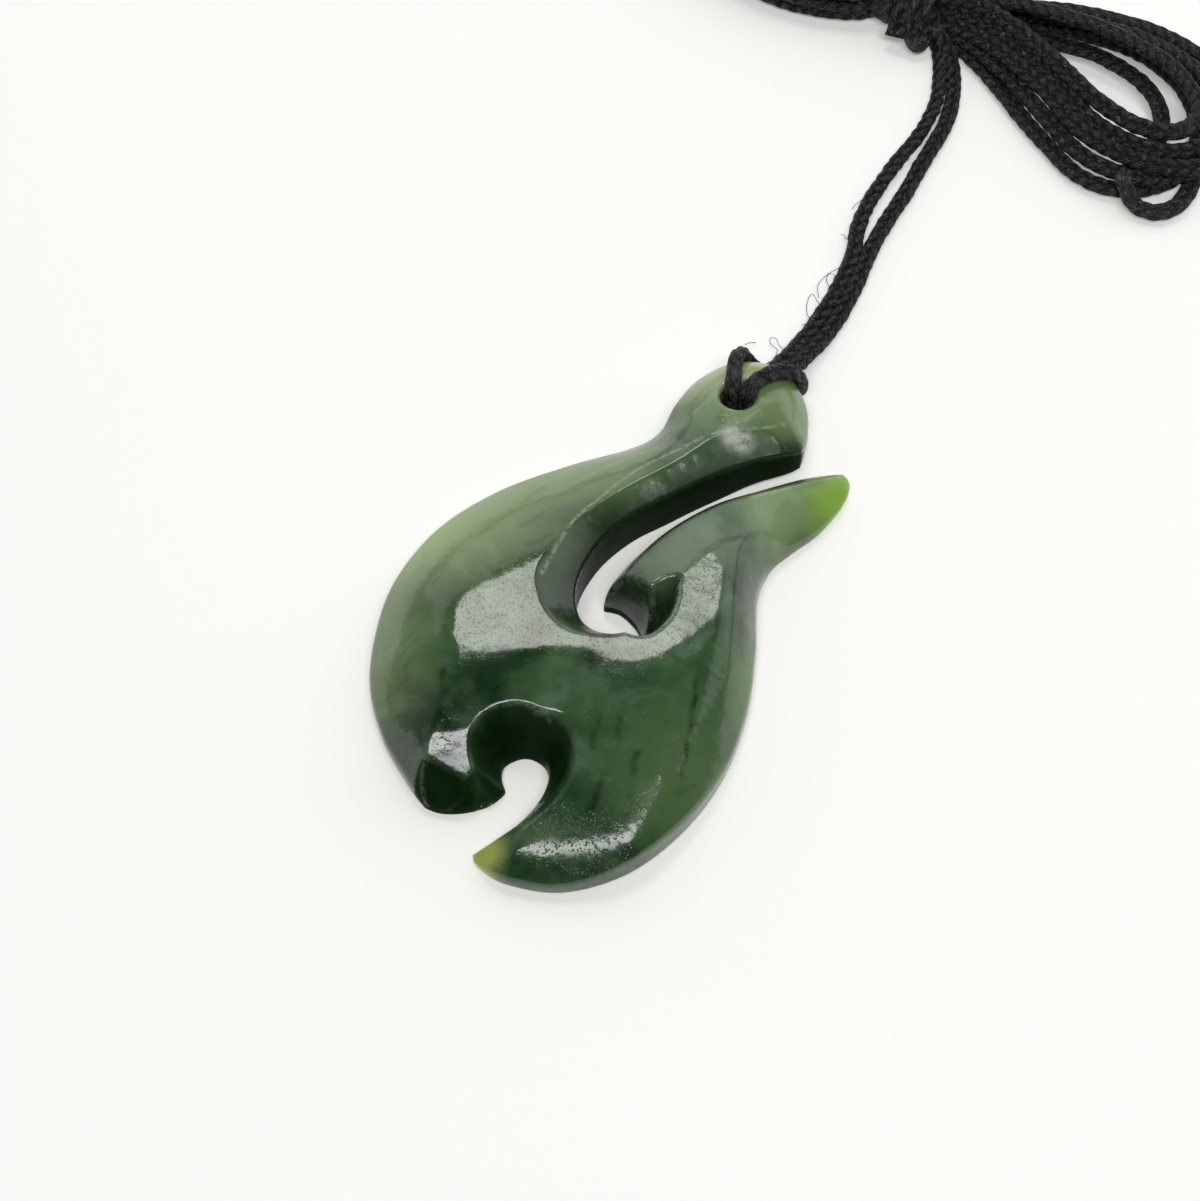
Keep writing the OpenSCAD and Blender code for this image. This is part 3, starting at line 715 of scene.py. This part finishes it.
# Lines of dark inclusions in the stone: points in plan, half width, strength
DARK_VEINS = [
    ([(-7.4, -4.4), (-5.7, -2.9), (-4.2, -1.1)], 0.32, 0.7),
    ([(-6.6, -1.2), (-5.6, -0.4), (-4.8, 0.8)], 0.24, 0.5),
    ([(-1.7, 10.6), (-1.1, 11.6), (-0.3, 12.2)], 0.6, 0.7),
    ([(6.2, 2.7), (6.7, 5.6), (7.8, 8.3)], 0.28, 0.65),
    ([(9.2, 6.1), (10.7, 3.9), (11.3, 1.4), (12.7, -1.3)], 0.3, 0.6),
    ([(11.0, -4.4), (11.8, -6.8), (12.5, -9.2), (13.4, -12.5)], 0.26, 0.85),
    ([(10.0, -13.0), (10.8, -15.0), (11.6, -17.2), (11.7, -18.7)], 0.28, 0.7),
    ([(7.6, -11.2), (8.2, -12.6)], 0.32, 0.7),
    ([(8.3, -16.0), (8.4, -17.4), (8.4, -18.5)], 0.4, 0.9),
    ([(5.6, -11.6), (5.9, -12.8), (6.2, -14.2)], 0.32, 0.55),
    ([(-6.8, -14.1), (-6.0, -15.9), (-5.0, -18.6), (-4.1, -20.3)], 0.3, 0.7),
    ([(-4.2, -11.2), (-2.6, -9.6), (-0.4, -9.2), (2.4, -8.2), (5.4, -6.5)], 0.42, 0.55),
    ([(5.4, -6.5), (8.6, -3.4), (10.3, -0.3)], 0.55, 0.45),
    ([(-2.6, 14.6), (-1.2, 14.8), (0.4, 14.2)], 0.5, 0.45),
    ([(4.6, 10.9), (7.1, 14.0), (9.9, 17.1), (11.6, 18.9)], 0.42, 0.85),
]
# Where the painted highlights along crests are weaker: x, y, radius, and how much of them stays
CALM = [(0.4, -20.4, 2.3, 0.0), (2.6, -1.2, 3.0, 0.25), (-2.6, -20.0, 2.4, 0.3),
        (3.2, -22.6, 2.0, 0.3)]
# Lines of painted highlight along crests: points in plan, strength
PALE_CREST_LINES = [
    ([(-4.1, -2.9), (-4.3, -0.1), (-4.3, 2.6), (-3.8, 5.0), (-2.2, 10.2), (0.2, 13.8),
      (1.8, 16.0), (3.2, 17.2), (5.1, 18.6), (6.3, 19.9)], 1.0),
    ([(-7.9, 3.6), (-5.4, 9.0), (-2.4, 13.3), (-1.6, 15.9), (-0.5, 18.7), (0.2, 20.2)], 0.45),
]


def line_distance(line, x, y):
    """Distance from points in plan to a smooth line, in mm."""
    line = smooth_rows(line, 4, True)
    near = np.full(len(x), np.inf)
    for k in range(len(line) - 1):
        near = np.minimum(near, to_segments(line[k:k + 1], line[k + 1:k + 2], x, y)[1])
    return near


def faded(distance, reach, power=2):
    """1 on a mark, fading to 0 some way past its reach."""
    return np.exp(-(distance / reach) ** power)


def vein_marks(x, y):
    bend = 0.3 * np.sin(0.9 * x + 0.5 * y) + 0.1 * np.sin(2.6 * y - 1.3 * x)
    vein = np.zeros(len(x))
    for line, width, strength in DARK_VEINS:
        vein = np.maximum(vein, strength * faded(line_distance(line, x + bend, y), width))
    return vein


def crest_highlight_marks(shape, x, y, z):
    """Painted highlights along crests, found where the face stands proud of its own softened shape.
    """
    proud = shape.height - blurred(shape.height, 0.2, shape.step)
    crest_highlight = np.clip(shape.sampled(proud, x, y) / 0.06 - 0.5, 0, 1)
    crest_highlight *= z > shape.sampled(shape.height, x, y) - 0.25
    for cx, cy, radius, keep in CALM:
        crest_highlight *= 1 - (1 - keep) * faded(np.hypot(x - cx, y - cy), radius, 6)
    for line, strength in PALE_CREST_LINES:
        crest_highlight = np.maximum(crest_highlight, strength * faded(line_distance(line, x, y), 0.13))
    return crest_highlight


def cut_shade_marks(shape, x, y, z):
    """Painted shade: how dark each cut is painted, and where its shaded walls are."""
    slot = line_distance(SLOT_EDGE, x, y)
    barb = line_distance(POINT_EDGE[:8], x, y)
    notch = line_distance(NOTCH_EDGE[3:] + HEEL_EDGE[1:], x, y)
    cut = np.minimum(np.minimum(slot, barb), notch)
    below = np.clip((shape.sampled(shape.height, x, y) - z) / 0.5, 0, 1)
    shaded_low_wall = below * faded(cut, 0.8)
    gy, gx = np.gradient(shape.height, shape.step)
    steep = np.clip(shape.sampled(np.hypot(gx, gy), x, y) / 0.4 - 2.2, 0, 1)
    # Painted shade in the steep hollows of the notch and the heel.
    shaded_hollow = steep * faded(line_distance(NOTCH_EDGE[4:11], x, y), 2.6, 6)
    shaded_hollow = np.maximum(shaded_hollow, steep * faded(np.hypot(x + 2.3, y + 21.4), 2.8, 6))
    cut_shade = np.maximum.reduce([
        0.9 * faded(slot, 1.1), 0.5 * faded(barb, 1.1, 4), 0.8 * faded(notch, 1.5), shaded_hollow,
        0.75 * faded(line_distance(GROOVE, x, y), 0.7), shaded_low_wall])
    return cut_shade, np.maximum(shaded_low_wall, shaded_hollow)


def paint_marks(obj, shape):
    """Marks each corner of the mesh with its veins, painted highlights along crests and painted
    shade in the cuts.
    """
    at = np.empty(len(obj.data.vertices) * 3)
    obj.data.vertices.foreach_get("co", at)
    x, y, z = at[0::3] / MM, at[1::3] / MM, at[2::3] / MM
    cut_shade, shaded_wall = cut_shade_marks(shape, x, y, z)
    corner = np.empty(len(obj.data.loops), int)
    obj.data.loops.foreach_get("vertex_index", corner)
    first = np.empty(len(obj.data.polygons), int)
    obj.data.polygons.foreach_get("loop_start", first)
    # Faces on the shaded walls take the second copy of the stone, whose dimmed reflection paints
    # them as in shade.
    shaded_wall_look = (shaded_wall[corner[first]] > 0.5).astype(np.int32)
    obj.data.polygons.foreach_set("material_index", shaded_wall_look)
    marks = {"vein": vein_marks(x, y), "crest_highlight": crest_highlight_marks(shape, x, y, z), "cut_shade": cut_shade}
    for name, values in marks.items():
        layer = obj.data.attributes.new(name, "FLOAT", "POINT")
        layer.data.foreach_set("value", values)


PALE, LEAF_GLOW = (0.25, 0.37, 0.14, 1), (0.30, 0.50, 0.08, 1)
# Tints of the stone: centre and radius in mm, colour, amount, wobble of the edge
TINTS = [
    ((-15.0, 1.0, 2.0), 15, PALE, 0.85, 2.0),
    ((-13.0, -14.0, 2.0), 9, PALE, 0.5, 2.0),
    ((-6.0, 10.0, 3.0), 8, PALE, 0.6, 1.5),
    ((1.0, 22.0, 4.0), 8, PALE, 0.8, 1.5),
    # Painted highlight on the rounded rim of the hole.
    ((1.9, 19.3, 5.2), 0.9, (0.55, 0.60, 0.50, 1), 0.8, 0.3),
    ((-1.6, 24.4, 3.0), 7, (0.46, 0.52, 0.32, 1), 0.85, 1.0),
    ((7.0, 22.0, 3.0), 5, (0.28, 0.36, 0.18, 1), 0.7, 1.0),
    ((5.0, 4.6, 5.0), 5, (0.20, 0.29, 0.16, 1), 0.65, 2.6),
    ((9.0, 13.0, 3.0), 5.5, (0.27, 0.40, 0.19, 1), 0.85, 1.4),
    # Painted glow of light through the thin stone: yellow-green on the tip of the horn, on the tip
    # beside the notch and along the thin west edge.
    ((13.4, 18.0, 1.5), 6, LEAF_GLOW, 0.95, 1.0),
    ((2.2, -24.4, 1.0), 3.4, (0.40, 0.46, 0.09, 1), 0.95, 0.7),
    ((-15.6, -3.0, 1.0), 6, LEAF_GLOW, 0.4, 1.0),
    ((15.0, -2.0, 1.0), 6, (0.14, 0.28, 0.06, 1), 0.5, 1.4),
    ((13.0, -12.0, 1.0), 9, (0.11, 0.19, 0.07, 1), 0.6, 2.0),
]


def stone_colour(n, cut_shade):
    """Clouded green with tints, painted shade in the cuts, flecks, veins, and painted highlights on
    crests and two glinting spots.
    """
    cloud = n.noise(95, 5, 0.55, distort=0.6)
    fine = n.noise(260, 5, 0.5)
    haze = n.noise(150, 6, 0.6, distort=1.2, at=(0.02, 0.01, 0))
    colour = n.mix(n.ramp(cloud, 0.4, 0.62), (0.009, 0.036, 0.012, 1), (0.052, 0.118, 0.047, 1))
    light = n.math("MULTIPLY", n.ramp(fine, 0.45, 0.75), 0.42)
    colour = n.mix(light, colour, (0.15, 0.23, 0.13, 1))
    milky = n.math("MULTIPLY", n.ramp(haze, 0.5, 0.7), 0.6)
    colour = n.mix(milky, colour, (0.14, 0.22, 0.15, 1))
    for centre, radius, tint, amount, wobble in TINTS:
        factor = n.math("MULTIPLY", n.spot(centre, radius, wobble), amount)
        colour = n.mix(factor, colour, tint)
    # Painted shade: the cuts, their shaded walls and the hollows beside them are painted near
    # black.
    colour = n.mix(n.math("MULTIPLY", cut_shade, 0.92), colour, (0.004, 0.016, 0.003, 1))
    flecks = n.noise(300, 3, 0.5, stretch=(0.4, 1.6, 1), turn=-18)
    dark = n.math("MULTIPLY", n.ramp(flecks, 0.6, 0.75), 0.25)
    broken = n.ramp(n.noise(420, 5, 0.6), 0.36, 0.62, 0.15, 1.0)
    dark = n.math("MAXIMUM", dark, n.math("MULTIPLY", n.attribute("vein"), broken))
    colour = n.mix(dark, colour, (0.008, 0.022, 0.008, 1))
    # Painted highlights: pale broken lines along the crests.
    crest_glint = n.math("MULTIPLY", n.attribute("crest_highlight"), n.ramp(n.noise(2600, 3), 0.35, 0.55))
    colour = n.mix(n.math("MULTIPLY", crest_glint, 0.6), colour, (0.42, 0.48, 0.36, 1))
    # Painted highlights: pale glinting spots on the bevel of the head and on the facet of the heel.
    painted_glint = n.math("MAXIMUM", n.spot((3.5, 16.5, 5.0), 2.1, 0.2, (1, 0.8, 1)),
                   n.spot((-3.9, -19.2, 4.2), 0.9, 0.2, (1, 0.8, 1)))
    painted_glint = n.math("MULTIPLY", painted_glint, n.ramp(n.noise(800, 4), 0.3, 0.62))
    return n.mix(n.math("MULTIPLY", painted_glint, 0.9), colour, (0.60, 0.64, 0.55, 1))


def stone_polish(n, cut_shade):
    """Roughness and surface normal of the polish, duller in cuts and where it is scuffed."""
    scuffed = n.math("MAXIMUM", n.spot((3.6, 16.4, 5.2), 2.4, 0.5),
                     n.spot((-3.9, -19.0, 4.5), 1.0, 0.4))
    scuffed = n.math("MAXIMUM", scuffed, n.spot((9.0, -21.0, 3.0), 6.0, 0.8, (1, 0.5, 1)))
    rough = n.ramp(n.noise(560, 5, 0.6), 0.35, 0.65, 0.11, 0.17)
    rough = n.math("ADD", rough, n.math("MULTIPLY", cut_shade, 0.12))
    rough = n.math("ADD", rough, n.math("MULTIPLY", scuffed, 0.02))
    waves = n.bump(n.noise(230, 3, 0.5), 0.22, 0.0006)
    peel = n.bump(n.noise(1100, 3, 0.6), 0.12, 0.0001, waves)
    pits = n.ramp(n.noise(5200, 2, 0.5), 0.56, 0.72)
    pits = n.math("MULTIPLY", pits, n.math("ADD", n.math("MULTIPLY", scuffed, 1.6), 0.15))
    return rough, n.bump(pits, 0.5, 0.00005, peel)


def greenstone(name, gloss, bend):
    """Polished stone, with its gloss and how strongly it bends light."""
    material, nodes, links, shader = new_material(name)
    n = Nodes(nodes, links)
    # Painted shade: a dark spot in the hollows of the heel, joined to the painted shade of the
    # cuts.
    cut_shade = n.spot((-1.8, -21.2, 1.5), 3.6, 0.3, (1.3, 0.75, 1))
    cut_shade = n.math("MAXIMUM", cut_shade, n.attribute("cut_shade"))
    rough, normal = stone_polish(n, cut_shade)
    links.new(stone_colour(n, cut_shade), shader.inputs["Base Color"])
    links.new(rough, shader.inputs["Roughness"])
    links.new(normal, shader.inputs["Normal"])
    shader.inputs["Subsurface Weight"].default_value = 0.25
    shader.inputs["Subsurface Radius"].default_value = (0.8, 1.0, 0.35)
    shader.inputs["Subsurface Scale"].default_value = 0.0016
    shader.inputs["IOR"].default_value = bend
    shader.inputs["Specular IOR Level"].default_value = gloss
    return material


def dark_cord(name, pale):
    """Waxed cord, with the brightness of its palest fibres."""
    material, nodes, links, shader = new_material(name)
    n = Nodes(nodes, links)
    uv = nodes.new("ShaderNodeUVMap")
    uv.uv_map = "braid"
    stretch = nodes.new("ShaderNodeMapping")
    stretch.inputs["Scale"].default_value = (1.2, 14, 1)
    links.new(uv.outputs[0], stretch.inputs[0])
    fibre = nodes.new("ShaderNodeTexNoise")
    fibre.inputs["Scale"].default_value = 2.2
    fibre.inputs["Detail"].default_value = 5
    links.new(stretch.outputs[0], fibre.inputs["Vector"])
    wax_and_glint = n.ramp(n.noise(1700, 4, 0.7), 0.6, 0.7)
    frayed = n.math("MULTIPLY", n.attribute("bent"), n.ramp(fibre.outputs[0], 0.35, 0.65))
    top = n.mix(n.ramp(fibre.outputs[0], 0.42, 0.68), (0.004, 0.004, 0.005, 1),
                (pale, pale, 1.08 * pale, 1))
    # Painted shade: the low parts between the strands are painted near black.
    colour = n.mix(n.attribute("raised"), (0.0015, 0.0015, 0.0018, 1), top)
    # Painted highlights: pale specks where the waxed surface glints, which are also less rough.
    colour = n.mix(n.math("MULTIPLY", wax_and_glint, 0.7), colour, (0.17, 0.167, 0.16, 1))
    colour = n.mix(n.math("MULTIPLY", frayed, 0.5), colour, (0.15, 0.145, 0.138, 1))
    links.new(colour, shader.inputs["Base Color"])
    shader.inputs["Specular IOR Level"].default_value = 0.12
    links.new(n.ramp(wax_and_glint, 0, 1, 0.45, 0.3), shader.inputs["Roughness"])
    weave = n.bump(fibre.outputs[0], 0.9, 0.00014)
    links.new(n.bump(n.noise(1500, 4, 0.7), 0.35, 0.00008, weave), shader.inputs["Normal"])
    return material


def fibre_look():
    material, nodes, links, shader = new_material("loose_fibre")
    n = Nodes(nodes, links)
    links.new(n.mix(n.noise(700, 3), (0.10, 0.10, 0.11, 1), (0.34, 0.33, 0.32, 1)),
              shader.inputs["Base Color"])
    shader.inputs["Roughness"].default_value = 0.6
    return material


# The camera of the photograph: where it looks from, the point it looks at and
# how far off it is in mm, its lens and sensor in mm, and its picture in pixels
AZIMUTH, ELEVATION, DISTANCE = math.radians(28.4), math.radians(60.0), 202.4
AIM = Vector((0.0, -0.74, 1.84))
LENS, SENSOR, PICTURE = 75, 36, (1200, 1201)
BACK = Vector((math.sin(AZIMUTH) * math.cos(ELEVATION), -math.cos(AZIMUTH) * math.cos(ELEVATION),
               math.sin(ELEVATION)))
RIGHT = Vector((math.cos(AZIMUTH), math.sin(AZIMUTH), 0))
UP = BACK.cross(RIGHT)
EYE = AIM + BACK * DISTANCE
# Loose fibres beside the cord, as places in the camera's picture: x, y
FIBRES = [
    [(819, 298), (817, 290), (818, 284), (823, 278), (832, 271), (841, 267)],
    [(812, 322), (808, 317), (806, 309), (808, 298), (813, 292), (818, 304), (822, 306)],
    [(830, 288), (827, 283), (826, 278), (830, 272), (835, 276)],
    [(788, 354), (784, 350), (778, 344), (777, 339), (772, 337), (769, 340), (772, 346), (778, 349),
     (776, 356), (768, 365), (762, 364)],
    [(864, 198), (860, 201), (855, 205), (852, 209)],
    [(842, 234), (846, 236), (844, 239), (850, 239)],
    [(802, 325), (807, 322), (811, 327)],
    [(795, 375), (800, 380), (803, 385)],
    [(745, 345), (750, 341), (756, 343)],
    [(764, 366), (770, 360), (778, 362), (781, 368)],
]


def make_camera():
    data = bpy.data.cameras.new("camera")
    data.lens, data.sensor_width, data.clip_start = LENS, SENSOR, 0.01
    camera = bpy.data.objects.new("camera", data)
    scene.collection.objects.link(camera)
    turn = Matrix((RIGHT, UP, BACK)).transposed().to_4x4()
    camera.matrix_world = Matrix.Translation(EYE * MM) @ turn
    scene.camera = camera


def from_picture(x, y, z):
    """The point in mm at height z that the camera sees at x, y of its picture."""
    width, height = PICTURE
    pixel = SENSOR / LENS / height
    ray = RIGHT * (x - width / 2) * pixel - UP * (y - height / 2) * pixel - BACK
    return EYE + ray * ((z - EYE.z) / ray.z)


def make_fibres():
    curve = bpy.data.curves.new("stray_fibres", "CURVE")
    curve.dimensions = "3D"
    curve.bevel_depth = 0.035 * MM
    curve.bevel_resolution = 1
    curve.resolution_u = 6
    for k, places in enumerate(FIBRES):
        spline = curve.splines.new("NURBS")
        spline.points.add(len(places) - 1)
        for i, (x, y) in enumerate(places):
            point = from_picture(x, y, 0.5 + 0.35 * math.sin(1.7 * i + k)) * MM
            spline.points[i].co = (*point, 1)
        spline.order_u = 3
        spline.use_endpoint_u = True
    obj = bpy.data.objects.new("stray_fibres", curve)
    scene.collection.objects.link(obj)
    curve.materials.append(fibre_look())
    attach(obj, "root")


# Half the side of the table top, in metres
TABLE_REACH = 3
# Area lights: name, direction, distance and size in metres, power, colour
LIGHTS = [
    ("window", (-0.25, 0.423, 0.87), 0.6, (0.18, 0.14), 0.56, (1, 1, 0.94)),
    ("strip", (0.22, -0.35, 0.91), 0.6, (0.46, 0.12), 1.6, (1, 1, 1)),
    ("side", (0.43, 0.08, 0.9), 0.6, (0.02, 0.02), 0.03, (1, 1, 1)),
    ("fill", (-0.8, 0.6, 0.5), 0.4, (0.3, 0.3), 0.2, (1, 1, 1)),
    ("north", (0.25, 0.8, 0.5), 0.55, (0.9, 0.5), 1.25, (1, 1, 1)),
]


def make_table():
    r = TABLE_REACH
    mesh = bpy.data.meshes.new("table_top")
    mesh.from_pydata([(-r, -r, 0), (r, -r, 0), (r, r, 0), (-r, r, 0)], [], [(0, 1, 2, 3)])
    obj = bpy.data.objects.new("table_top", mesh)
    scene.collection.objects.link(obj)
    material, nodes, links, shader = new_material("paper")
    shader.inputs["Base Color"].default_value = (0.92, 0.928, 0.925, 1)
    shader.inputs["Roughness"].default_value = 0.9
    shader.inputs["Emission Color"].default_value = (1, 0.965, 0.91, 1)
    shader.inputs["Emission Strength"].default_value = 0.27
    mesh.materials.append(material)


def make_sky():
    """A glow that is brightest low down, towards -X and +Y."""
    world = bpy.data.worlds.new("studio")
    scene.world = world
    world.use_nodes = True
    nodes, links = world.node_tree.nodes, world.node_tree.links
    n = Nodes(nodes, links)
    way = nodes.new("ShaderNodeSeparateXYZ")
    links.new(nodes["Texture Coordinate"].outputs["Generated"], way.inputs[0])
    low_ring = n.ramp(way.outputs[2], 0.42, 0.84, 1.0, 0.0)
    west = n.ramp(n.math("SUBTRACT", way.outputs[1], way.outputs[0]), -0.9, 0.8, 0.08, 1.0)
    glow = n.math("MULTIPLY", low_ring, west)
    links.new(n.ramp(glow, 0.0, 1.0, 0.15, 5.4), nodes["Background"].inputs[1])


def area_light(name, direction, distance, size, power, colour):
    data = bpy.data.lights.new(name, "AREA")
    data.shape = "RECTANGLE"
    data.size, data.size_y = size
    data.energy = power
    data.color = colour
    obj = bpy.data.objects.new(name, data)
    scene.collection.objects.link(obj)
    way = Vector(direction).normalized()
    obj.location = way * distance
    obj.rotation_mode = "QUATERNION"
    obj.rotation_quaternion = way.to_track_quat("Z", "Y")


make_camera()
stone, stone_shape = build_stone()
paint_marks(stone, stone_shape)
stone.data.materials.append(greenstone("greenstone", 0.5, 1.6))
# Shaded copy of the stone for the cut walls, its reflection dimmed to paint them as in shade.
stone.data.materials.append(greenstone("greenstone_shaded_wall", 0.1, 1.15))
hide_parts("hook_stone")
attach(stone, "root")
make_table()
make_cords(dark_cord("dark_cord", 0.12), dark_cord("binding_cord", 0.15))
make_fibres()
make_sky()
for light in LIGHTS:
    area_light(*light)
scene.view_settings.view_transform = "Standard"
